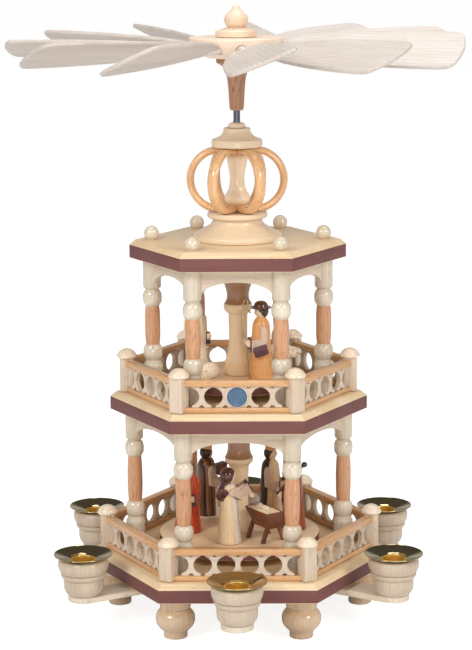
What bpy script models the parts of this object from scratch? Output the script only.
"""Two-storey candle carousel: a hexagonal wooden tower, six candle holders and a heat-driven wheel.

The origin is on the table under the spindle. The tower's corners point along +X and every 60
degrees from there. Corner pieces (feet, posts, columns, balls) stand at the corners, and the six
candle arms leave between them.
"""

import bmesh
import bpy
from math import acos, atan2, cos, degrees, pi, radians, sin
from mathutils import Matrix, Vector

# Fits
FIT = 0.0003
RUNNING_CLEARANCE = 0.0005
GLUE_DEPTH = 0.0010
CUT_OVERRUN = 0.0040
MERGE_DISTANCE = 0.00001

# The hexagonal tower
SIDES = 6
PLATE_BAND_HEIGHT = 0.0089
PLATE_CHAMFER = 0.0034
BASE_PLATE_RADIUS = 0.1030
MIDDLE_PLATE_RADIUS = 0.0870
ROOF_PLATE_RADIUS = 0.0725

# Bun feet under the corners of the base plate
FOOT_SETBACK = 0.0204
FOOT_RADIUS = 0.0129
FOOT_HEIGHT = 0.0275
FOOT_PROFILE_SHARES = ((0.78, 1.00), (0.77, 0.76), (0.73, 0.73), (0.95, 0.585), (1.00, 0.45),
                       (0.88, 0.28), (0.63, 0.16), (0.60, 0.00))

# Candle arms: a board spaced off the base plate by a pad, with a turned cup glued on it
ARM_CUP_CLEARANCE = 0.0123
ARM_WIDTH = 0.0210
ARM_THICKNESS = 0.0037
ARM_INNER_RADIUS = 0.0600
ARM_END_POINTS = 7
ARM_PAD_THICKNESS = 0.0025
ARM_PAD_LENGTH = 0.0200
CUP_RADIUS = 0.0165
CUP_HEIGHT = 0.0251
CUP_PROFILE_SHARES = ((0.88, 1.00), (1.00, 0.88), (0.98, 0.737), (0.93, 0.65), (0.865, 0.62),
                      (0.90, 0.59), (0.89, 0.52), (0.78, 0.455), (0.79, 0.20), (0.74, 0.10),
                      (0.60, 0.00))

# Brass drip dishes with a candle socket
DISH_RADIUS = 0.0194
DISH_RISE = 0.0033
DISH_WALL = 0.0008
DISH_SEAT_SHARE = 0.86
CANDLE_DIAMETER = 0.0140
CANDLE_PLAY = 0.0004
SOCKET_WALL = 0.0008
SOCKET_DEPTH = 0.0120

# Railings
LOWER_RAILING_SETBACK = 0.0128
UPPER_RAILING_SETBACK = 0.0118
LOWER_RAILING_HOLES = 4
UPPER_RAILING_HOLES = 3
POST_WIDTH = 0.0093
POST_HEIGHT = 0.0230
POST_CAP_RADIUS = 0.0069
POST_CAP_HEIGHT = 0.0070
POST_CAP_SHARES = ((0.60, 0.90), (0.96, 0.48), (0.94, 0.00))
RAIL_TOP_HEIGHT = 0.0042
RAIL_TOP_DEPTH = 0.0060
RAIL_BOTTOM_HEIGHT = 0.0033
RAIL_BOTTOM_DEPTH = 0.0052
FRET_TENON_SHARE = 0.50
FRET_HEIGHT = 0.0143
FRET_THICKNESS = 0.0030
FRET_HOLE_DIAMETER = 0.0120
FRET_END_LAND = 0.0017
FRET_HOLE_POINTS = 8

# Plain enamelled disc in the middle hole of the upper front railing
SEAL_RADIUS = 0.0068
SEAL_THICKNESS = 0.0010

# Columns, one turned piece each, and the arch boards let into their blocks
LOWER_COLUMN_SETBACK = 0.0160
UPPER_COLUMN_SETBACK = 0.0150
LOWER_COLUMN_HEIGHT = 0.0961
UPPER_COLUMN_HEIGHT = 0.0908
COLUMN_FOOT_HEIGHT = 0.0213
COLUMN_BLOCK_HEIGHT = 0.0198
COLUMN_BLOCK_RADIUS = 0.0060
COLUMN_FOOT_RADIUS = 0.0064
COLUMN_BALL_RADIUS = 0.00625
COLUMN_BALL_HEIGHT = 0.0110
COLUMN_SHAFT_RADIUS = 0.0051
COLUMN_SHAFT_END_SHARE = 0.90
COLUMN_NECK_RADIUS = 0.0043
COLUMN_BALL_SHARES = ((0.70, 1.00), (0.98, 0.72), (0.98, 0.28), (0.72, 0.00))
COLUMN_SHOULDER_SHARE = 0.12
ARCH_THICKNESS = 0.0030
ARCH_CROWN_DEPTH = 0.0080
ARCH_END_DEPTH = 0.0165
ARCH_TENON_SHARE = 0.60
ARCH_POINTS = 8

# Balls on the roof
ROOF_BALL_SETBACK = 0.0151
ROOF_BALL_RADIUS = 0.0050

# Crown on the roof: turned base, spool inside six bent rings, collar and bush
CROWN_BASE_RADIUS = 0.0303
CROWN_BASE_HEIGHT = 0.0180
CROWN_BASE_SHARES = ((0.66, 1.00), (0.66, 0.82), (0.56, 0.76), (0.56, 0.66), (0.74, 0.45),
                     (0.95, 0.20), (1.00, 0.09), (1.00, 0.00))
CAGE_HEIGHT = 0.0430
CAGE_RING_RADIUS = 0.0199
CAGE_RING_OFFSET = 0.0112
CAGE_TUBE_RADIUS = 0.0025
CAGE_BAND_WIDTH = 0.0078
CAGE_RING_POINTS = 11
SPOOL_RADIUS = 0.0087
SPOOL_PEG_RADIUS = 0.0034
SPOOL_SHARES = ((0.80, 0.84), (0.70, 0.70), (0.575, 0.52), (0.66, 0.36), (0.94, 0.24),
                (1.00, 0.18), (0.80, 0.13))
SPOOL_PEG_SHARE = 0.10
COLLAR_RADIUS = 0.0168
COLLAR_HEIGHT = 0.0125
COLLAR_SHARES = ((0.52, 1.00), (0.55, 0.86), (0.66, 0.58), (0.94, 0.42), (1.00, 0.38),
                 (1.00, 0.00))
BUSH_RADIUS = 0.0060
BUSH_HEIGHT = 0.0032
BUSH_SHARES = ((0.62, 1.00), (0.92, 0.62), (1.00, 0.00))

# Spindle: steel rod on a foot bearing, two turntables and their centre posts
ROD_RADIUS = 0.0022
ROD_POINT_HEIGHT = 0.0030
BEARING_RADIUS = 0.0050
BEARING_DEPTH = 0.0060
BEARING_PROUD = 0.0014
BEARING_WALL = 0.0016
TURNTABLE_THICKNESS = 0.0062
TURNTABLE_LIFT = 0.0056
TURNTABLE_EDGE_ROUND = 0.0008
LOWER_TURNTABLE_RADIUS = 0.0545
UPPER_TURNTABLE_RADIUS = 0.0430
CENTRE_POST_RADIUS = 0.0096
CENTRE_POST_TOP_GAP = 0.0012
LOWER_POST_SHARES = ((0.79, 1.00), (0.79, 0.675), (0.85, 0.635), (1.00, 0.61), (0.99, 0.573),
                     (0.69, 0.543), (0.68, 0.16), (0.84, 0.08), (0.92, 0.05), (0.92, 0.00))
UPPER_POST_SHARES = ((1.00, 1.00), (1.00, 0.80), (0.90, 0.765), (0.80, 0.725), (0.76, 0.69),
                     (0.78, 0.66), (0.90, 0.63), (1.00, 0.605), (1.00, 0.58), (0.93, 0.56),
                     (0.67, 0.53), (0.65, 0.29), (0.71, 0.215), (0.82, 0.157), (0.93, 0.115),
                     (0.96, 0.10), (0.96, 0.00))

# Wheel: sleeve, hub, finial and blades on turning pegs
SLEEVE_LIFT = 0.0080
SLEEVE_HEIGHT = 0.0343
SLEEVE_RADIUS = 0.0133
SLEEVE_SHARES = ((1.00, 1.00), (1.00, 0.91), (0.78, 0.86), (0.54, 0.74), (0.43, 0.50),
                 (0.38, 0.20), (0.35, 0.04), (0.31, 0.00))
SLEEVE_ROOF = 0.0060
HUB_RADIUS = 0.0313
HUB_HEIGHT = 0.0133
HUB_SHARES = ((1.00, 1.00), (1.00, 0.88), (0.93, 0.62), (0.76, 0.22), (0.60, 0.00))
FINIAL_RADIUS = 0.0137
FINIAL_HEIGHT = 0.0212
FINIAL_SHARES = ((0.18, 0.94), (0.36, 0.76), (0.56, 0.62), (0.585, 0.50), (0.50, 0.36),
                 (0.41, 0.29), (0.66, 0.23), (0.98, 0.17), (1.00, 0.00))
BLADE_COUNT = 11
BLADE_FIRST_ANGLE = 179.0
BLADE_PITCHES = (16.0, 22.0, 24.0, 21.0, 22.0, 27.0, 26.0, 24.0, 26.0, 25.0, 22.0)
BLADE_TIP_RADIUS = 0.1525
BLADE_ROOT_RADIUS = 0.0335
BLADE_WIDTH = 0.0442
BLADE_THICKNESS = 0.0025
BLADE_OUTLINE_SHARES = ((0.00, 0.14), (0.05, 0.36), (0.16, 0.58), (0.36, 0.80), (0.62, 0.95),
                        (0.86, 1.00), (0.955, 0.94), (0.985, 0.64))
PEG_RADIUS = 0.0030
PEG_INNER_RADIUS = 0.0170
PEG_OUTER_RADIUS = 0.0420
PEG_HEIGHT_SHARE = 0.48
PEG_ROUND_SHARE = 0.71

# Figures on the turntables
FIGURE_HEIGHT = 0.0500
FIGURE_BASE_RADIUS = 0.0088
FIGURE_HEAD_RADIUS = 0.0044
ROBE_SHARES = ((0.25, 1.05), (0.62, 0.95), (0.68, 0.82), (0.70, 0.55), (1.00, 0.00))
CLOAK_SHARES = ((0.40, 0.99), (0.76, 0.90), (1.02, 0.02))
CLOAK_SET_BACK = 0.0016
ARM_LENGTH = 0.0105
ARM_RADIUS = 0.0017
ARM_HEIGHT_SHARE = 0.52
STAFF_RADIUS = 0.0009
STAFF_REACH = 0.0112
STICK_BACK = 0.0074
STICK_TOP_SHARE = 0.92
STICK_KNOB_RADIUS = 0.0021
CROOK_RADIUS = 0.0032
CROOK_POINTS = 9
HAT_RADIUS = 0.0072
HAT_SHARES = ((0.50, 1.00), (0.62, 0.75), (0.64, 0.30), (1.00, 0.22), (1.00, 0.00))
HAT_HEIGHT = 0.0046
CROWN_BAND_RADIUS = 0.0036
CROWN_BAND_HEIGHT = 0.0034
VEIL_RADIUS = 0.0056
VEIL_SHARES = (0.80, 0.90, 1.00)
HAIR_SHARES = (0.70, 1.00, 1.50)
GIFT_SIZE = 0.0058
MANGER_LENGTH = 0.0260
MANGER_WIDTH = 0.0135
MANGER_DEPTH = 0.0108
MANGER_TOP_HEIGHT = 0.0203
MANGER_FLOOR_SHARE = 0.74
MANGER_END_SLANT = 0.0080
MANGER_LEG_WIDTH = 0.0024
MANGER_LEG_SPREAD = 0.0052
HAY_LENGTH_SHARE = 0.90
HAY_DEPTH_SHARE = 0.30
CHILD_HEAD_RADIUS = 0.0017
SHEEP_LENGTH = 0.0210
SHEEP_WIDTH = 0.0110
SHEEP_DEPTH = 0.0110
SHEEP_LEG_LENGTH = 0.0075
SHEEP_LEG_RADIUS = 0.0012
SHEEP_LEG_SHARE = 0.23
SHEEP_HEAD_RADIUS = 0.0036
SHEEP_HEAD_SHARES = (1.20, 0.80, 0.90)
SHEEP_HEAD_RISE_SHARE = 0.20
LYING_SINK_SHARE = 0.12

# Where the figures stand on their turntable, as shares of its radius and the way they face
LOWER_FIGURE_SHARES = {
    "mary": (-0.11, -0.57, 10.0),
    "manger": (0.31, -0.40, -55.0),
    "king_red": (-0.64, -0.09, -95.0),
    "king_striped": (-0.42, 0.61, 35.0),
    "king_black_cape": (0.40, 0.55, -15.0),
    "joseph": (0.68, 0.04, 180.0),
}
UPPER_FIGURE_SHARES = {
    "shepherd": (0.36, -0.40, 190.0),
    "shepherd_fleece": (-0.66, 0.19, -55.0),
    "sheep_lying": (-0.45, -0.37, 240.0),
    "sheep_standing": (0.66, 0.27, -10.0),
}

# Facets of the turned pieces
FINE_SEGMENTS = 20
DISH_SEGMENTS = 14
TURNED_SEGMENTS = 12
CUP_SEGMENTS = 12
SMALL_SEGMENTS = 8
FIGURE_SEGMENTS = 8
ROD_SEGMENTS = 10
BALL_RINGS = 5

# Sizes that follow from the others
FOOT_RING_RADIUS = BASE_PLATE_RADIUS - FOOT_SETBACK
LOWER_RAILING_RADIUS = BASE_PLATE_RADIUS - LOWER_RAILING_SETBACK
UPPER_RAILING_RADIUS = MIDDLE_PLATE_RADIUS - UPPER_RAILING_SETBACK
LOWER_COLUMN_RING = MIDDLE_PLATE_RADIUS - LOWER_COLUMN_SETBACK
UPPER_COLUMN_RING = ROOF_PLATE_RADIUS - UPPER_COLUMN_SETBACK
ROOF_BALL_RING = ROOF_PLATE_RADIUS - ROOF_BALL_SETBACK
ARM_CUP_RING_RADIUS = BASE_PLATE_RADIUS * cos(pi / SIDES) + ARM_CUP_CLEARANCE + CUP_RADIUS
FIGURE_NECK_HEIGHT = FIGURE_HEIGHT - 2.0 * FIGURE_HEAD_RADIUS + GLUE_DEPTH

# Heights that follow from the stack of pieces
BASE_BOTTOM = FOOT_HEIGHT + FIT
BASE_TOP = BASE_BOTTOM + PLATE_BAND_HEIGHT + PLATE_CHAMFER
LOWER_COLUMN_BOTTOM = BASE_TOP + FIT
MIDDLE_BOTTOM = LOWER_COLUMN_BOTTOM + LOWER_COLUMN_HEIGHT + FIT
MIDDLE_TOP = MIDDLE_BOTTOM + PLATE_BAND_HEIGHT + PLATE_CHAMFER
UPPER_COLUMN_BOTTOM = MIDDLE_TOP + FIT
ROOF_BOTTOM = UPPER_COLUMN_BOTTOM + UPPER_COLUMN_HEIGHT + FIT
ROOF_TOP = ROOF_BOTTOM + PLATE_BAND_HEIGHT + PLATE_CHAMFER
CROWN_BOTTOM = ROOF_TOP + FIT
CAGE_BOTTOM = CROWN_BOTTOM + CROWN_BASE_HEIGHT + FIT
COLLAR_BOTTOM = CAGE_BOTTOM + CAGE_HEIGHT + FIT
BUSH_BOTTOM = COLLAR_BOTTOM + COLLAR_HEIGHT + FIT
SLEEVE_BOTTOM = BUSH_BOTTOM + BUSH_HEIGHT + SLEEVE_LIFT
HUB_BOTTOM = SLEEVE_BOTTOM + SLEEVE_HEIGHT + FIT
FINIAL_BOTTOM = HUB_BOTTOM + HUB_HEIGHT + FIT
PEG_HEIGHT = HUB_BOTTOM + HUB_HEIGHT * PEG_HEIGHT_SHARE
LOWER_TURNTABLE_BOTTOM = BASE_TOP + TURNTABLE_LIFT
UPPER_TURNTABLE_BOTTOM = MIDDLE_TOP + TURNTABLE_LIFT
BEARING_BOTTOM = BASE_TOP - BEARING_DEPTH
ROD_BOTTOM = BEARING_BOTTOM + BEARING_WALL + FIT
ROD_TOP = SLEEVE_BOTTOM + SLEEVE_HEIGHT - SLEEVE_ROOF - FIT
BORE_RADIUS = (ROD_RADIUS + RUNNING_CLEARANCE) / cos(pi / ROD_SEGMENTS)


def clear_scene():
    for obj in list(bpy.data.objects):
        bpy.data.objects.remove(obj, do_unlink=True)


def new_collection(name):
    folder = bpy.data.collections.new(name)
    bpy.context.scene.collection.children.link(folder)
    return folder


clear_scene()
PARTS = new_collection("candle_carousel")
CUTTERS = new_collection("cutters")


def finish(name, colour, roughness, metallic=0.0):
    material = bpy.data.materials.new(name)
    material.use_nodes = True
    shader = material.node_tree.nodes["Principled BSDF"]
    shader.inputs["Base Color"].default_value = (*colour, 1.0)
    shader.inputs["Roughness"].default_value = roughness
    shader.inputs["Metallic"].default_value = metallic
    return material


MAPLE = finish("pale_maple", (0.80, 0.66, 0.47), 0.45)
BEECH = finish("steamed_beech", (0.70, 0.42, 0.24), 0.45)
WALNUT = finish("walnut", (0.12, 0.05, 0.03), 0.40)
BOG_OAK = finish("bog_oak", (0.05, 0.04, 0.035), 0.45)
PADAUK = finish("padauk", (0.48, 0.09, 0.03), 0.40)
ZEBRANO = finish("zebrano", (0.30, 0.19, 0.10), 0.45)
FLEECE = finish("white_fleece", (0.82, 0.76, 0.64), 0.90)
BRASS = finish("polished_brass", (0.80, 0.62, 0.28), 0.22, 1.0)
STEEL = finish("bright_steel", (0.55, 0.56, 0.58), 0.28, 1.0)
BLUE_ENAMEL = finish("blue_enamel", (0.10, 0.25, 0.45), 0.30)


def place(obj, material, folder=PARTS):
    """Link an object, and hide it from renders if it only shapes another one."""
    folder.objects.link(obj)
    obj.data.materials.clear()
    obj.data.materials.append(material)
    if folder is CUTTERS:
        obj.hide_render = True
        obj.display_type = "WIRE"
    return obj


def mesh_from(name, builder):
    """A mesh that a function fills through bmesh."""
    shape = bmesh.new()
    builder(shape)
    mesh = bpy.data.meshes.new(name)
    shape.to_mesh(mesh)
    shape.free()
    return mesh


def turned(name, profile, segments, material, folder=PARTS, loop=False):
    """A turned piece from (radius, height) points that run down its outer side."""
    edges = [(i, i + 1) for i in range(len(profile) - 1)]
    if loop:
        edges.append((len(profile) - 1, 0))
    mesh = bpy.data.meshes.new(name)
    mesh.from_pydata([(radius, 0.0, height) for radius, height in profile], edges, [])
    obj = place(bpy.data.objects.new(name, mesh), material, folder)
    screw = obj.modifiers.new("turning", "SCREW")
    screw.axis = "Z"
    screw.angle = 2.0 * pi
    screw.steps = segments
    screw.render_steps = segments
    screw.use_merge_vertices = True
    screw.merge_threshold = MERGE_DISTANCE
    screw.use_smooth_shade = True
    return obj


def scaled(shares, radius, height, bottom):
    return [(radius * r, bottom + height * h) for r, h in shares]


def solid_profile(points):
    """Close a profile on the axis at its top and its bottom."""
    return [(0.0, points[0][1])] + points + [(0.0, points[-1][1])]


def bored_profile(points, bore):
    """Close a profile along a bore of constant radius."""
    return [(bore, points[0][1])] + points + [(bore, points[-1][1])]


def box(name, size, centre, material, folder=CUTTERS, turn=0.0):
    def build(shape):
        bmesh.ops.create_cube(shape, size=1.0)
        bmesh.ops.scale(shape, vec=size, verts=shape.verts)
    obj = place(bpy.data.objects.new(name, mesh_from(name, build)), material, folder)
    obj.location = centre
    obj.rotation_euler = (0.0, 0.0, turn)
    return obj


def ball(name, radius, centre, material, folder=CUTTERS, segments=FIGURE_SEGMENTS, stretch=(1, 1, 1)):
    def build(shape):
        bmesh.ops.create_uvsphere(shape, u_segments=segments, v_segments=BALL_RINGS, radius=radius)
        bmesh.ops.scale(shape, vec=stretch, verts=shape.verts)
    mesh = mesh_from(name, build)
    mesh.shade_smooth()
    obj = place(bpy.data.objects.new(name, mesh), material, folder)
    obj.location = centre
    return obj


def rod(name, start, end, radius, material, folder=CUTTERS, segments=FIGURE_SEGMENTS):
    """A round bar between two points."""
    run = Vector(end) - Vector(start)

    def build(shape):
        bmesh.ops.create_cone(shape, cap_ends=True, segments=segments, radius1=radius,
                              radius2=radius, depth=run.length)
    obj = place(bpy.data.objects.new(name, mesh_from(name, build)), material, folder)
    obj.location = (Vector(start) + Vector(end)) / 2.0
    obj.rotation_euler = run.to_track_quat("Z", "Y").to_euler()
    return obj


def mesh_of_curve(guide):
    """Turn a curve object into a welded mesh object's data, and drop the curve."""
    bpy.context.view_layer.update()
    depsgraph = bpy.context.evaluated_depsgraph_get()
    mesh = bpy.data.meshes.new_from_object(guide.evaluated_get(depsgraph))
    mesh.transform(guide.matrix_world)
    bpy.data.objects.remove(guide, do_unlink=True)
    shape = bmesh.new()
    shape.from_mesh(mesh)
    bmesh.ops.remove_doubles(shape, verts=shape.verts, dist=MERGE_DISTANCE)
    bmesh.ops.recalc_face_normals(shape, faces=shape.faces)
    shape.to_mesh(mesh)
    shape.free()
    return mesh


def board(name, outlines, thickness, material, folder=CUTTERS):
    """A flat board in XY, centred on Z = 0, from an outline and the outlines of its holes."""
    curve = bpy.data.curves.new(name, "CURVE")
    curve.dimensions = "2D"
    curve.fill_mode = "BOTH"
    curve.extrude = thickness / 2.0
    for outline in outlines:
        spline = curve.splines.new("POLY")
        spline.points.add(len(outline) - 1)
        for point, (x, y) in zip(spline.points, outline):
            point.co = (x, y, 0.0, 1.0)
        spline.use_cyclic_u = True
    guide = bpy.data.objects.new(name, curve)
    CUTTERS.objects.link(guide)
    return place(bpy.data.objects.new(name, mesh_of_curve(guide)), material, folder)


def tube(name, points, radius, material, folder=CUTTERS, resolution=2):
    """A bent round bar along a list of points."""
    curve = bpy.data.curves.new(name, "CURVE")
    curve.dimensions = "3D"
    curve.bevel_depth = radius
    curve.bevel_resolution = resolution
    curve.use_fill_caps = True
    spline = curve.splines.new("POLY")
    spline.points.add(len(points) - 1)
    for point, position in zip(spline.points, points):
        point.co = (*position, 1.0)
    guide = bpy.data.objects.new(name, curve)
    CUTTERS.objects.link(guide)
    return place(bpy.data.objects.new(name, mesh_of_curve(guide)), material, folder)


def combine(obj, others, operation="UNION", solver="EXACT"):
    for other in others:
        step = obj.modifiers.new(operation.lower(), "BOOLEAN")
        step.operation = operation
        step.solver = solver
        step.object = other
    return obj


def arc(radius, start, end, count, centre=(0.0, 0.0)):
    """Points on a circle, angles in degrees, both ends included."""
    steps = [radians(start + (end - start) * i / (count - 1)) for i in range(count)]
    return [(centre[0] + radius * cos(a), centre[1] + radius * sin(a)) for a in steps]


def around(radius, angle, height=0.0):
    return (radius * cos(angle), radius * sin(angle), height)


def corner_angles():
    return [2.0 * pi * i / SIDES for i in range(SIDES)]


def side_angles():
    return [2.0 * pi * (i + 0.5) / SIDES for i in range(SIDES)]


# Plates, hexagons with a painted band and a chamfered top edge
def plate_profile(radius, bottom):
    band_top = bottom + PLATE_BAND_HEIGHT
    inner = radius - PLATE_CHAMFER / cos(pi / SIDES)
    return [(inner, band_top + PLATE_CHAMFER), (radius, band_top), (radius, bottom)]


def make_base_plate():
    plate = turned("base_plate", solid_profile(plate_profile(BASE_PLATE_RADIUS, BASE_BOTTOM)),
                   SIDES, MAPLE)
    seat_depth = BEARING_DEPTH + FIT + CUT_OVERRUN
    seat_centre = BASE_TOP - BEARING_DEPTH - FIT + seat_depth / 2.0
    seat = rod("bearing_seat", (0.0, 0.0, seat_centre - seat_depth / 2.0),
               (0.0, 0.0, seat_centre + seat_depth / 2.0),
               BEARING_RADIUS + RUNNING_CLEARANCE, MAPLE, segments=TURNED_SEGMENTS)
    return combine(plate, [seat], "DIFFERENCE")


def bored_plate(name, radius, bottom):
    plate = turned(name, solid_profile(plate_profile(radius, bottom)), SIDES, MAPLE)
    top = bottom + PLATE_BAND_HEIGHT + PLATE_CHAMFER
    bore = rod(name + "_bore", (0.0, 0.0, bottom - CUT_OVERRUN), (0.0, 0.0, top + CUT_OVERRUN),
               BORE_RADIUS, MAPLE, segments=ROD_SEGMENTS)
    return combine(plate, [bore], "DIFFERENCE")


def make_roof_plate():
    plate = bored_plate("roof_plate", ROOF_PLATE_RADIUS, ROOF_BOTTOM)
    height = ROOF_TOP + ROOF_BALL_RADIUS - GLUE_DEPTH
    balls = [ball("roof_ball", ROOF_BALL_RADIUS, around(ROOF_BALL_RING, angle, height), MAPLE)
             for angle in corner_angles()]
    return combine(plate, balls)


# Feet
def make_bun_feet():
    profile = solid_profile(scaled(FOOT_PROFILE_SHARES, FOOT_RADIUS, FOOT_HEIGHT, 0.0))
    for number, angle in enumerate(corner_angles(), 1):
        foot = turned("bun_foot_%d" % number, profile, TURNED_SEGMENTS, MAPLE)
        foot.location = around(FOOT_RING_RADIUS, angle)


# Candle arms and dishes
SOCKET_BORE = (CANDLE_DIAMETER + CANDLE_PLAY) / 2.0
SOCKET_OUTER = SOCKET_BORE + SOCKET_WALL
CUP_BOTTOM = FOOT_HEIGHT - ARM_PAD_THICKNESS
CUP_TOP = CUP_BOTTOM + CUP_HEIGHT


def dish_underside(radius):
    """Height of the dish's sloping underside at a radius; it seats on the cup's rim."""
    slope = DISH_RISE / (DISH_RADIUS - SOCKET_OUTER)
    return CUP_TOP + FIT + (radius - CUP_RADIUS * DISH_SEAT_SHARE) * slope


SOCKET_FLOOR = dish_underside(SOCKET_OUTER) + DISH_WALL - SOCKET_DEPTH


def make_drip_dishes():
    lip = dish_underside(SOCKET_OUTER) + DISH_WALL
    profile = [(0.0, SOCKET_FLOOR), (SOCKET_BORE, SOCKET_FLOOR), (SOCKET_BORE, lip),
               (SOCKET_OUTER, lip), (DISH_RADIUS, dish_underside(DISH_RADIUS) + DISH_WALL),
               (DISH_RADIUS, dish_underside(DISH_RADIUS)),
               (SOCKET_OUTER, dish_underside(SOCKET_OUTER)),
               (SOCKET_OUTER, SOCKET_FLOOR - SOCKET_WALL), (0.0, SOCKET_FLOOR - SOCKET_WALL)]
    for number, angle in enumerate(side_angles(), 1):
        dish = turned("drip_dish_%d" % number, profile, DISH_SEGMENTS, BRASS)
        dish.location = around(ARM_CUP_RING_RADIUS, angle)


def make_candle_arms():
    bore = SOCKET_OUTER + RUNNING_CLEARANCE
    bore_floor = SOCKET_FLOOR - SOCKET_WALL - FIT
    bore_top = dish_underside(bore) - FIT
    cup = scaled(CUP_PROFILE_SHARES, CUP_RADIUS, CUP_HEIGHT, CUP_BOTTOM)
    foot_of_cup = (cup[-1][0], CUP_BOTTOM - GLUE_DEPTH)
    profile = [(0.0, bore_floor), (bore, bore_floor), (bore, bore_top)] + cup
    profile += [foot_of_cup, (0.0, foot_of_cup[1])]
    outline = [(ARM_INNER_RADIUS, -ARM_WIDTH / 2.0)]
    outline += arc(ARM_WIDTH / 2.0, -90.0, 90.0, ARM_END_POINTS, (ARM_CUP_RING_RADIUS, 0.0))
    outline.append((ARM_INNER_RADIUS, ARM_WIDTH / 2.0))
    for number, angle in enumerate(side_angles(), 1):
        arm = board("candle_arm_%d" % number, [outline], ARM_THICKNESS, MAPLE, PARTS)
        arm.location = (0.0, 0.0, CUP_BOTTOM - ARM_THICKNESS / 2.0)
        arm.rotation_euler = (0.0, 0.0, angle)
        cup_piece = turned("cup_%d" % number, profile, CUP_SEGMENTS, MAPLE, CUTTERS)
        cup_piece.location = around(ARM_CUP_RING_RADIUS, angle)
        size = (ARM_PAD_LENGTH, ARM_WIDTH - 2.0 * FIT, ARM_PAD_THICKNESS + GLUE_DEPTH)
        spot = around(ARM_INNER_RADIUS + ARM_PAD_LENGTH / 2.0 + FIT, angle, FOOT_HEIGHT - size[2] / 2.0)
        pad = box("arm_pad_%d" % number, size, spot, MAPLE, turn=angle)
        combine(arm, [cup_piece, pad])


# Railings
def upright(mesh):
    """Stand a board from the XY plane on its lower edge, facing out of the tower."""
    mesh.transform(Matrix.Rotation(pi / 2.0, 4, "X"))
    mesh.transform(Matrix.Rotation(pi / 2.0, 4, "Z"))


def fret_outlines(side, holes):
    """One railing panel, along X, with round holes and a half hole at each post."""
    post_reach = POST_WIDTH / 2.0 / cos(pi / SIDES)
    clear = side / 2.0 - post_reach
    pitch = 2.0 * (clear - FRET_END_LAND) / (holes + 1)
    half = FRET_HEIGHT / 2.0
    radius = FRET_HOLE_DIAMETER / 2.0
    end = clear + post_reach * FRET_TENON_SHARE
    last = pitch * (holes + 1) / 2.0
    quarter = FRET_HOLE_POINTS // 2 + 1
    outline = [(-end, -half), (end, -half), (end, -radius)]
    outline += arc(radius, 270.0, 90.0, quarter, (last, 0.0))
    outline += [(end, radius), (end, half), (-end, half), (-end, radius)]
    outline += arc(radius, 90.0, -90.0, quarter, (-last, 0.0))
    outline.append((-end, -radius))
    outlines = [outline]
    for i in range(holes):
        centre = pitch * (i - (holes - 1) / 2.0)
        full = 360.0 - 360.0 / FRET_HOLE_POINTS
        outlines.append(arc(radius, 0.0, full, FRET_HOLE_POINTS, (centre, 0.0)))
    return outlines


def rail_ring(name, ring, depth, bottom, height):
    """A rail that runs round the tower, mitred at its corners."""
    reach = depth / 2.0 / cos(pi / SIDES)
    profile = [(ring - reach, bottom + height), (ring + reach, bottom + height),
               (ring + reach, bottom), (ring - reach, bottom)]
    return turned(name, profile, SIDES, MAPLE, CUTTERS, loop=True)


def make_railing(name, ring, holes, deck):
    """Posts at the corners, and between them a fretted panel under a top rail."""
    bottom = deck + FIT
    rail_bottom = bottom + FIT
    panel_bottom = rail_bottom + RAIL_BOTTOM_HEIGHT - FIT
    rail_top = panel_bottom + FRET_HEIGHT - FIT
    outlines = fret_outlines(ring, holes)
    cap = solid_profile(scaled(POST_CAP_SHARES, POST_CAP_RADIUS, POST_CAP_HEIGHT,
                               bottom + POST_HEIGHT - GLUE_DEPTH))
    pieces = [rail_ring(name + "_foot_rail", ring, RAIL_BOTTOM_DEPTH, rail_bottom, RAIL_BOTTOM_HEIGHT),
              rail_ring(name + "_hand_rail", ring, RAIL_TOP_DEPTH, rail_top, RAIL_TOP_HEIGHT)]
    for angle in side_angles():
        panel = board(name + "_fret", outlines, FRET_THICKNESS, MAPLE)
        upright(panel.data)
        panel.location = around(ring * cos(pi / SIDES), angle, panel_bottom + FRET_HEIGHT / 2.0)
        panel.rotation_euler = (0.0, 0.0, angle)
        pieces.append(panel)
    size = (POST_WIDTH, POST_WIDTH, POST_HEIGHT)
    for angle in corner_angles():
        spot = around(ring, angle, bottom + POST_HEIGHT / 2.0)
        post = box(name, size, spot, MAPLE, PARTS if angle == 0.0 else CUTTERS, angle)
        cap_piece = turned(name + "_cap", cap, SMALL_SEGMENTS, MAPLE, CUTTERS)
        cap_piece.location = around(ring, angle)
        pieces.append(cap_piece)
        if angle == 0.0:
            railing = post
        else:
            pieces.append(post)
    return combine(railing, pieces, solver="MANIFOLD")


def make_seal_disc():
    """A plain blue disc, glued over the middle hole of the front panel."""
    face = UPPER_RAILING_RADIUS * cos(pi / SIDES) + FRET_THICKNESS / 2.0 + FIT
    height = MIDDLE_TOP + FIT + RAIL_BOTTOM_HEIGHT + FRET_HEIGHT / 2.0
    return rod("seal_disc", (0.0, -face, height), (0.0, -face - SEAL_THICKNESS, height),
               SEAL_RADIUS, BLUE_ENAMEL, PARTS, TURNED_SEGMENTS)


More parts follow.
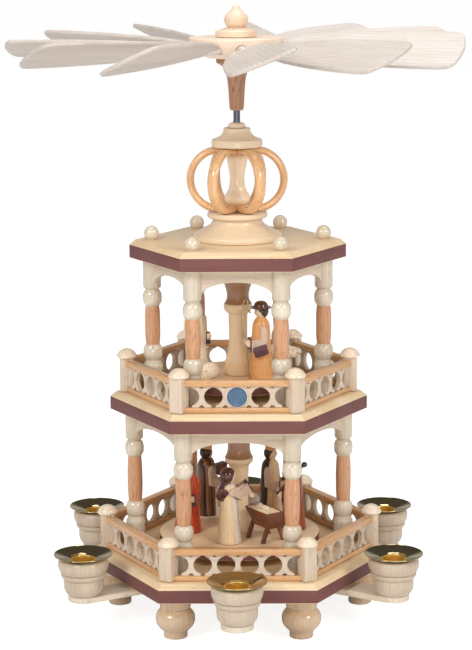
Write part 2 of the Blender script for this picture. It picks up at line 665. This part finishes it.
# Colonnades
def column_profile(bottom, height):
    top = bottom + height
    block_bottom = top - COLUMN_BLOCK_HEIGHT
    foot_top = bottom + COLUMN_FOOT_HEIGHT
    gap = COLUMN_BLOCK_RADIUS - COLUMN_NECK_RADIUS
    upper_ball = block_bottom - gap - COLUMN_BALL_HEIGHT
    shaft_end = COLUMN_SHAFT_RADIUS * COLUMN_SHAFT_END_SHARE
    shaft_bottom = foot_top + COLUMN_BALL_HEIGHT
    points = [(COLUMN_BLOCK_RADIUS, top), (COLUMN_BLOCK_RADIUS, block_bottom),
              (COLUMN_NECK_RADIUS, block_bottom - gap)]
    points += scaled(COLUMN_BALL_SHARES, COLUMN_BALL_RADIUS, COLUMN_BALL_HEIGHT, upper_ball)
    points += [(shaft_end, upper_ball), (COLUMN_SHAFT_RADIUS, (upper_ball + shaft_bottom) / 2.0),
               (shaft_end, shaft_bottom)]
    points += scaled(COLUMN_BALL_SHARES, COLUMN_BALL_RADIUS, COLUMN_BALL_HEIGHT, foot_top)
    shoulder = COLUMN_FOOT_HEIGHT * COLUMN_SHOULDER_SHARE
    points += [(COLUMN_FOOT_RADIUS, foot_top - shoulder), (COLUMN_FOOT_RADIUS, bottom)]
    return solid_profile(points)


def arch_outline(side):
    """An arch board along X with its upper edge on Y = 0."""
    end = side / 2.0 - COLUMN_BLOCK_RADIUS * (1.0 - ARCH_TENON_SHARE)
    spring = side / 2.0 - COLUMN_BLOCK_RADIUS
    rise = ARCH_END_DEPTH - ARCH_CROWN_DEPTH
    outline = [(-end, 0.0), (-end, -ARCH_END_DEPTH), (-spring, -ARCH_END_DEPTH)]
    for x, y in arc(1.0, 180.0, 0.0, ARCH_POINTS)[1:-1]:
        outline.append((x * spring, y * rise - ARCH_END_DEPTH))
    outline += [(spring, -ARCH_END_DEPTH), (end, -ARCH_END_DEPTH), (end, 0.0)]
    return outline


def make_colonnade(name, ring, bottom, height):
    profile = column_profile(bottom, height)
    outline = arch_outline(ring)
    inner = ring * cos(pi / SIDES)
    pieces = []
    for angle in corner_angles()[1:]:
        column = turned(name + "_column", profile, SMALL_SEGMENTS, MAPLE, CUTTERS)
        column.location = around(ring, angle)
        pieces.append(column)
    for angle in side_angles():
        arch = board(name + "_arch", [outline], ARCH_THICKNESS, MAPLE)
        upright(arch.data)
        arch.location = around(inner, angle, bottom + height - FIT)
        arch.rotation_euler = (0.0, 0.0, angle)
        pieces.append(arch)
    colonnade = turned(name, profile, SMALL_SEGMENTS, MAPLE)
    colonnade.location = around(ring, 0.0)
    return combine(colonnade, pieces)


# Crown
def make_crown():
    base = scaled(CROWN_BASE_SHARES, CROWN_BASE_RADIUS, CROWN_BASE_HEIGHT, CROWN_BOTTOM)
    turned("crown_base", bored_profile(base, BORE_RADIUS), FINE_SEGMENTS, MAPLE, loop=True)
    collar = scaled(COLLAR_SHARES, COLLAR_RADIUS, COLLAR_HEIGHT, COLLAR_BOTTOM)
    turned("crown_collar", bored_profile(collar, BORE_RADIUS), FINE_SEGMENTS, MAPLE, loop=True)
    bush = scaled(BUSH_SHARES, BUSH_RADIUS, BUSH_HEIGHT, BUSH_BOTTOM)
    turned("spindle_bush", bored_profile(bush, BORE_RADIUS), SMALL_SEGMENTS, MAPLE, loop=True)


def make_crown_cage():
    peg = CAGE_HEIGHT * SPOOL_PEG_SHARE
    top = CAGE_BOTTOM + CAGE_HEIGHT
    spool = scaled(SPOOL_SHARES, SPOOL_RADIUS, CAGE_HEIGHT, CAGE_BOTTOM)
    points = [(SPOOL_PEG_RADIUS, top), (SPOOL_PEG_RADIUS, top - peg)] + spool
    points += [(SPOOL_PEG_RADIUS, CAGE_BOTTOM + peg), (SPOOL_PEG_RADIUS, CAGE_BOTTOM)]
    cage = turned("crown_cage", solid_profile(points), ROD_SEGMENTS, BEECH)
    centre = CAGE_BOTTOM + CAGE_HEIGHT / 2.0
    reach = (SPOOL_PEG_RADIUS - GLUE_DEPTH - CAGE_RING_OFFSET) / CAGE_RING_RADIUS
    end = degrees(acos(reach))
    rings = []
    for angle in corner_angles():
        points = [(CAGE_RING_OFFSET + x, 0.0, z)
                  for x, z in arc(CAGE_RING_RADIUS, -end, end, CAGE_RING_POINTS)]
        ring = tube("cage_ring", points, CAGE_TUBE_RADIUS, BEECH, resolution=1)
        ring.location = (0.0, 0.0, centre)
        ring.rotation_euler = (0.0, 0.0, angle)
        ring.scale = (1.0, CAGE_BAND_WIDTH / (2.0 * CAGE_TUBE_RADIUS), 1.0)
        rings.append(ring)
    reach = CAGE_RING_OFFSET + CAGE_RING_RADIUS + CAGE_TUBE_RADIUS + CUT_OVERRUN
    slab = rod("cage_seats", (0.0, 0.0, CAGE_BOTTOM + FIT), (0.0, 0.0, top - FIT), reach, BEECH,
               segments=TURNED_SEGMENTS)
    for ring in rings:
        combine(ring, [slab], "INTERSECT")
    combine(cage, rings, solver="MANIFOLD")
    bore = rod("cage_bore", (0.0, 0.0, CAGE_BOTTOM - CUT_OVERRUN), (0.0, 0.0, top + CUT_OVERRUN),
               BORE_RADIUS, BEECH, segments=ROD_SEGMENTS)
    return combine(cage, [bore], "DIFFERENCE")


# Spindle
def make_spindle():
    cup = [(BEARING_RADIUS, BASE_TOP + BEARING_PROUD), (BEARING_RADIUS, BEARING_BOTTOM),
           (0.0, BEARING_BOTTOM)]
    recess = BEARING_BOTTOM + BEARING_WALL
    turned("foot_bearing", [(0.0, recess), (BORE_RADIUS, recess + ROD_POINT_HEIGHT),
                            (BORE_RADIUS, BASE_TOP + BEARING_PROUD)] + cup,
           TURNED_SEGMENTS, BRASS)
    turned("spindle_rod", [(0.0, ROD_TOP), (ROD_RADIUS, ROD_TOP),
                           (ROD_RADIUS, ROD_BOTTOM + ROD_POINT_HEIGHT), (0.0, ROD_BOTTOM)],
           ROD_SEGMENTS, STEEL)
    for name, radius, bottom in (("lower_turntable", LOWER_TURNTABLE_RADIUS, LOWER_TURNTABLE_BOTTOM),
                                 ("upper_turntable", UPPER_TURNTABLE_RADIUS, UPPER_TURNTABLE_BOTTOM)):
        top = bottom + TURNTABLE_THICKNESS
        edge = [(radius - TURNTABLE_EDGE_ROUND, top), (radius, top - TURNTABLE_EDGE_ROUND),
                (radius, bottom)]
        turned(name, bored_profile(edge, BORE_RADIUS), FINE_SEGMENTS, MAPLE, loop=True)
    for name, shares, bottom, ceiling in (
            ("lower_centre_post", LOWER_POST_SHARES, LOWER_TURNTABLE_BOTTOM, MIDDLE_BOTTOM),
            ("upper_centre_post", UPPER_POST_SHARES, UPPER_TURNTABLE_BOTTOM, ROOF_BOTTOM)):
        foot = bottom + TURNTABLE_THICKNESS + FIT
        height = ceiling - CENTRE_POST_TOP_GAP - foot
        points = scaled(shares, CENTRE_POST_RADIUS, height, foot)
        turned(name, bored_profile(points, BORE_RADIUS), TURNED_SEGMENTS, MAPLE, loop=True)


# Wheel
def make_wheel():
    sleeve = scaled(SLEEVE_SHARES, SLEEVE_RADIUS, SLEEVE_HEIGHT, SLEEVE_BOTTOM)
    bore_top = ROD_TOP + FIT
    profile = [(0.0, sleeve[0][1])] + sleeve
    profile += [(BORE_RADIUS, SLEEVE_BOTTOM), (BORE_RADIUS, bore_top), (0.0, bore_top)]
    turned("wheel_sleeve", profile, TURNED_SEGMENTS, BEECH)
    finial = scaled(FINIAL_SHARES, FINIAL_RADIUS, FINIAL_HEIGHT, FINIAL_BOTTOM)
    tip = (0.0, FINIAL_BOTTOM + FINIAL_HEIGHT)
    turned("wheel_finial", [tip] + finial + [(0.0, FINIAL_BOTTOM)], TURNED_SEGMENTS, MAPLE)
    hub = scaled(HUB_SHARES, HUB_RADIUS, HUB_HEIGHT, HUB_BOTTOM)
    wheel = turned("wheel_hub", solid_profile(hub), 2 * BLADE_COUNT, MAPLE)
    holes = [rod("peg_hole", around(PEG_INNER_RADIUS - FIT, angle, PEG_HEIGHT),
                 around(HUB_RADIUS + CUT_OVERRUN, angle, PEG_HEIGHT),
                 (PEG_RADIUS + FIT) / cos(pi / FIGURE_SEGMENTS), MAPLE)
             for angle in blade_angles()]
    combine(wheel, holes, "DIFFERENCE")


def blade_angles():
    return [radians(BLADE_FIRST_ANGLE + 360.0 * i / BLADE_COUNT) for i in range(BLADE_COUNT)]


def make_blades():
    """Thin paddles, each slotted into a round peg that turns in the hub."""
    length = BLADE_TIP_RADIUS - BLADE_ROOT_RADIUS
    edge = [(BLADE_ROOT_RADIUS + length * s, BLADE_WIDTH / 2.0 * w) for s, w in BLADE_OUTLINE_SHARES]
    outline = edge + [(BLADE_TIP_RADIUS, 0.0)] + [(x, -y) for x, y in reversed(edge)]
    body = PEG_OUTER_RADIUS - PEG_RADIUS
    bevel = PEG_RADIUS * PEG_ROUND_SHARE
    profile = [(0.0, PEG_OUTER_RADIUS), (bevel, body + bevel), (PEG_RADIUS, body),
               (PEG_RADIUS, PEG_INNER_RADIUS), (0.0, PEG_INNER_RADIUS)]
    for number, angle in enumerate(blade_angles(), 1):
        blade = board("blade_%d" % number, [outline], BLADE_THICKNESS, MAPLE, PARTS)
        blade.location = (0.0, 0.0, PEG_HEIGHT)
        pitch = BLADE_PITCHES[(number - 1) % len(BLADE_PITCHES)]
        blade.rotation_euler = (radians(pitch), 0.0, angle)
        peg = turned("blade_peg", profile, FIGURE_SEGMENTS, MAPLE, CUTTERS)
        peg.location = blade.location
        peg.rotation_euler = (0.0, pi / 2.0, angle)
        combine(blade, [peg])


# Figures
def figure(name, material, cloak=None):
    """A turned robe with a head, facing +X, standing on Z = 0; a cloak hangs behind."""
    top = FIGURE_NECK_HEIGHT / ROBE_SHARES[0][1]
    robe = turned(name, solid_profile(scaled(ROBE_SHARES, FIGURE_BASE_RADIUS, top, 0.0)),
                  FIGURE_SEGMENTS, material)
    head_height = FIGURE_HEIGHT - FIGURE_HEAD_RADIUS
    head = ball(name + "_head", FIGURE_HEAD_RADIUS, (0.0, 0.0, head_height), material)
    extras = [head]
    if cloak:
        points = solid_profile(scaled(CLOAK_SHARES, FIGURE_BASE_RADIUS, top, 0.0))
        back = turned(name + "_cloak", points, FIGURE_SEGMENTS, cloak, CUTTERS)
        back.location = (-CLOAK_SET_BACK, 0.0, 0.0)
        extras.append(back)
    return robe, extras


def forearms(name, material):
    """Two arms held forward at hand height."""
    height = FIGURE_HEIGHT * ARM_HEIGHT_SHARE
    shoulder = FIGURE_BASE_RADIUS / 2.0
    return [rod(name + "_arm", (0.0, side * shoulder, height),
                (ARM_LENGTH, side * shoulder / 2.0, height), ARM_RADIUS, material, segments=SIDES)
            for side in (-1.0, 1.0)]


def stand(obj, extras, spot_shares, radius, deck, cutters=()):
    """Join a figure's pieces, and set it on its turntable, turned the way it faces."""
    x, y, facing = spot_shares
    combine(obj, extras)
    combine(obj, cutters, "DIFFERENCE")
    bpy.context.view_layer.update()
    here = Matrix.Translation((x * radius, y * radius, deck)) @ Matrix.Rotation(radians(facing), 4, "Z")
    for piece in [obj, *extras, *cutters]:
        piece.matrix_world = here @ piece.matrix_world


def gift(name, material):
    height = FIGURE_HEIGHT * ARM_HEIGHT_SHARE
    return box(name + "_gift", (GIFT_SIZE, GIFT_SIZE, GIFT_SIZE), (ARM_LENGTH, 0.0, height), material)


def crown_band(name, material):
    top = FIGURE_HEIGHT - FIGURE_HEAD_RADIUS / 2.0
    return rod(name + "_crown", (0.0, 0.0, top), (0.0, 0.0, top + CROWN_BAND_HEIGHT),
               CROWN_BAND_RADIUS, material)


def make_lower_figures():
    deck = LOWER_TURNTABLE_BOTTOM + TURNTABLE_THICKNESS + FIT
    radius = LOWER_TURNTABLE_RADIUS
    hand = FIGURE_HEIGHT * ARM_HEIGHT_SHARE
    spots = LOWER_FIGURE_SHARES

    robe, extras = figure("mary", MAPLE)
    extras += forearms("mary", MAPLE)
    veil_height = FIGURE_HEIGHT - FIGURE_HEAD_RADIUS - GLUE_DEPTH
    extras.append(ball("mary_veil", VEIL_RADIUS, (-CLOAK_SET_BACK, 0.0, veil_height), WALNUT,
                       stretch=VEIL_SHARES))
    extras.append(ball("mary_hair", VEIL_RADIUS, (-2.0 * CLOAK_SET_BACK, 0.0, hand), WALNUT,
                       stretch=HAIR_SHARES))
    stand(robe, extras, spots["mary"], radius, deck)

    for name, material, cloak in (("king_red", PADAUK, PADAUK), ("king_striped", ZEBRANO, ZEBRANO),
                                  ("king_black_cape", MAPLE, BOG_OAK)):
        robe, extras = figure(name, material, cloak)
        extras += forearms(name, material)
        extras += [gift(name, WALNUT), crown_band(name, MAPLE)]
        stand(robe, extras, spots[name], radius, deck)

    robe, extras = figure("joseph", WALNUT)
    grip = (ARM_LENGTH, STAFF_REACH / 2.0, hand)
    knob = (-STICK_BACK, STAFF_REACH / 2.0, FIGURE_HEIGHT * STICK_TOP_SHARE)
    extras += [rod("joseph_arm", (0.0, 0.0, hand), grip, ARM_RADIUS, WALNUT),
               rod("joseph_stick", grip, knob, STAFF_RADIUS, WALNUT),
               ball("joseph_knob", STICK_KNOB_RADIUS, knob, WALNUT)]
    stand(robe, extras, spots["joseph"], radius, deck)
    make_manger(spots["manger"], radius, deck)


def make_manger(spot, radius, deck):
    """A tapered trough with one slanting end on splayed legs, with the child on the hay."""
    def build(shape):
        bmesh.ops.create_cube(shape, size=1.0)
        bmesh.ops.scale(shape, vec=(MANGER_LENGTH, MANGER_WIDTH, MANGER_DEPTH), verts=shape.verts)
        low = [v for v in shape.verts if v.co.z < 0.0]
        bmesh.ops.scale(shape, vec=(1.0, MANGER_FLOOR_SHARE, 1.0), verts=low)
        slanted = [v for v in low if v.co.x < 0.0]
        bmesh.ops.translate(shape, vec=(MANGER_END_SLANT, 0.0, 0.0), verts=slanted)
    middle = MANGER_TOP_HEIGHT - MANGER_DEPTH / 2.0
    trough = place(bpy.data.objects.new("manger", mesh_from("manger", build)), WALNUT)
    trough.location = (0.0, 0.0, middle)
    hip = MANGER_WIDTH * MANGER_FLOOR_SHARE / 4.0
    lean = atan2(MANGER_WIDTH / 4.0 + MANGER_LEG_SPREAD - hip, middle)
    foot = MANGER_LEG_WIDTH / 2.0 * sin(lean)
    extras = []
    leg = MANGER_LENGTH / 2.0 - MANGER_LEG_WIDTH
    for x in (MANGER_END_SLANT / 2.0 - leg, leg):
        for side in (-1.0, 1.0):
            top = (x, side * hip, middle)
            toe = (x, side * (MANGER_WIDTH / 4.0 + MANGER_LEG_SPREAD), foot)
            extras.append(rod("manger_leg", toe, top, MANGER_LEG_WIDTH / 2.0, WALNUT, segments=SIDES))
    hay = (MANGER_LENGTH / MANGER_WIDTH * HAY_LENGTH_SHARE, HAY_LENGTH_SHARE, HAY_DEPTH_SHARE)
    extras.append(ball("hay", MANGER_WIDTH / 2.0, (0.0, 0.0, MANGER_TOP_HEIGHT - GLUE_DEPTH), MAPLE,
                       stretch=hay))
    child = MANGER_TOP_HEIGHT + CHILD_HEAD_RADIUS
    extras.append(ball("child_head", CHILD_HEAD_RADIUS, (-MANGER_LENGTH / 4.0, 0.0, child), MAPLE))
    stand(trough, extras, spot, radius, deck)


def make_upper_figures():
    deck = UPPER_TURNTABLE_BOTTOM + TURNTABLE_THICKNESS + FIT
    radius = UPPER_TURNTABLE_RADIUS
    hand = FIGURE_HEIGHT * ARM_HEIGHT_SHARE
    spots = UPPER_FIGURE_SHARES

    robe, extras = figure("shepherd", BEECH)
    hat = solid_profile(scaled(HAT_SHARES, HAT_RADIUS, HAT_HEIGHT,
                               FIGURE_HEIGHT - FIGURE_HEAD_RADIUS))
    extras.append(rod("shepherd_arm", (0.0, STAFF_REACH / 4.0, hand),
                      (ARM_LENGTH, STAFF_REACH / 2.0, hand), ARM_RADIUS, MAPLE))
    extras.append(turned("shepherd_hat", hat, FIGURE_SEGMENTS, WALNUT, CUTTERS))
    bend = arc(CROOK_RADIUS, 0.0, 210.0, CROOK_POINTS, (ARM_LENGTH - CROOK_RADIUS, FIGURE_HEIGHT))
    crook = [(x, STAFF_REACH / 2.0, z) for x, z in [(ARM_LENGTH, 0.0)] + bend]
    extras.append(tube("shepherd_crook", crook, STAFF_RADIUS, BRASS, resolution=1))
    stand(robe, extras, spots["shepherd"], radius, deck)

    robe, extras = figure("shepherd_fleece", FLEECE, FLEECE)
    extras += forearms("shepherd_fleece", MAPLE)
    stand(robe, extras, spots["shepherd_fleece"], radius, deck)

    make_sheep("sheep_lying", 0.0, spots["sheep_lying"], radius, deck)
    make_sheep("sheep_standing", SHEEP_LEG_LENGTH, spots["sheep_standing"], radius, deck)


def make_sheep(name, legs, spot, radius, deck):
    """A woolly body along X; without legs it lies, flattened on the ground."""
    half = SHEEP_DEPTH / 2.0
    middle = legs + half * (1.0 - LYING_SINK_SHARE)
    stretch = (SHEEP_LENGTH / SHEEP_DEPTH, SHEEP_WIDTH / SHEEP_DEPTH, 1.0)
    body = ball(name, half, (0.0, 0.0, middle), FLEECE, PARTS, stretch=stretch)
    nose = SHEEP_LENGTH / 2.0
    head = (nose, 0.0, middle + half * SHEEP_HEAD_RISE_SHARE)
    extras = [ball(name + "_head", SHEEP_HEAD_RADIUS, head, FLEECE, stretch=SHEEP_HEAD_SHARES)]
    cutters = []
    if legs:
        for end in (-1.0, 1.0):
            for side in (-1.0, 1.0):
                x = end * SHEEP_LENGTH * SHEEP_LEG_SHARE
                y = side * SHEEP_WIDTH * SHEEP_LEG_SHARE
                extras.append(rod(name + "_leg", (x, y, 0.0), (x, y, middle), SHEEP_LEG_RADIUS,
                                  FLEECE, segments=SIDES))
    else:
        reach = SHEEP_LENGTH * 2.0
        cutters.append(box(name + "_ground", (reach, reach, SHEEP_DEPTH), (0.0, 0.0, -half), FLEECE))
    stand(body, extras, spot, radius, deck, cutters)


make_base_plate()
make_bun_feet()
make_candle_arms()
make_drip_dishes()
make_railing("lower_railing", LOWER_RAILING_RADIUS, LOWER_RAILING_HOLES, BASE_TOP)
make_colonnade("lower_colonnade", LOWER_COLUMN_RING, LOWER_COLUMN_BOTTOM, LOWER_COLUMN_HEIGHT)
bored_plate("middle_plate", MIDDLE_PLATE_RADIUS, MIDDLE_BOTTOM)
make_railing("upper_railing", UPPER_RAILING_RADIUS, UPPER_RAILING_HOLES, MIDDLE_TOP)
make_seal_disc()
make_colonnade("upper_colonnade", UPPER_COLUMN_RING, UPPER_COLUMN_BOTTOM, UPPER_COLUMN_HEIGHT)
make_roof_plate()
make_crown()
make_crown_cage()
make_spindle()
make_lower_figures()
make_upper_figures()
make_wheel()
make_blades()
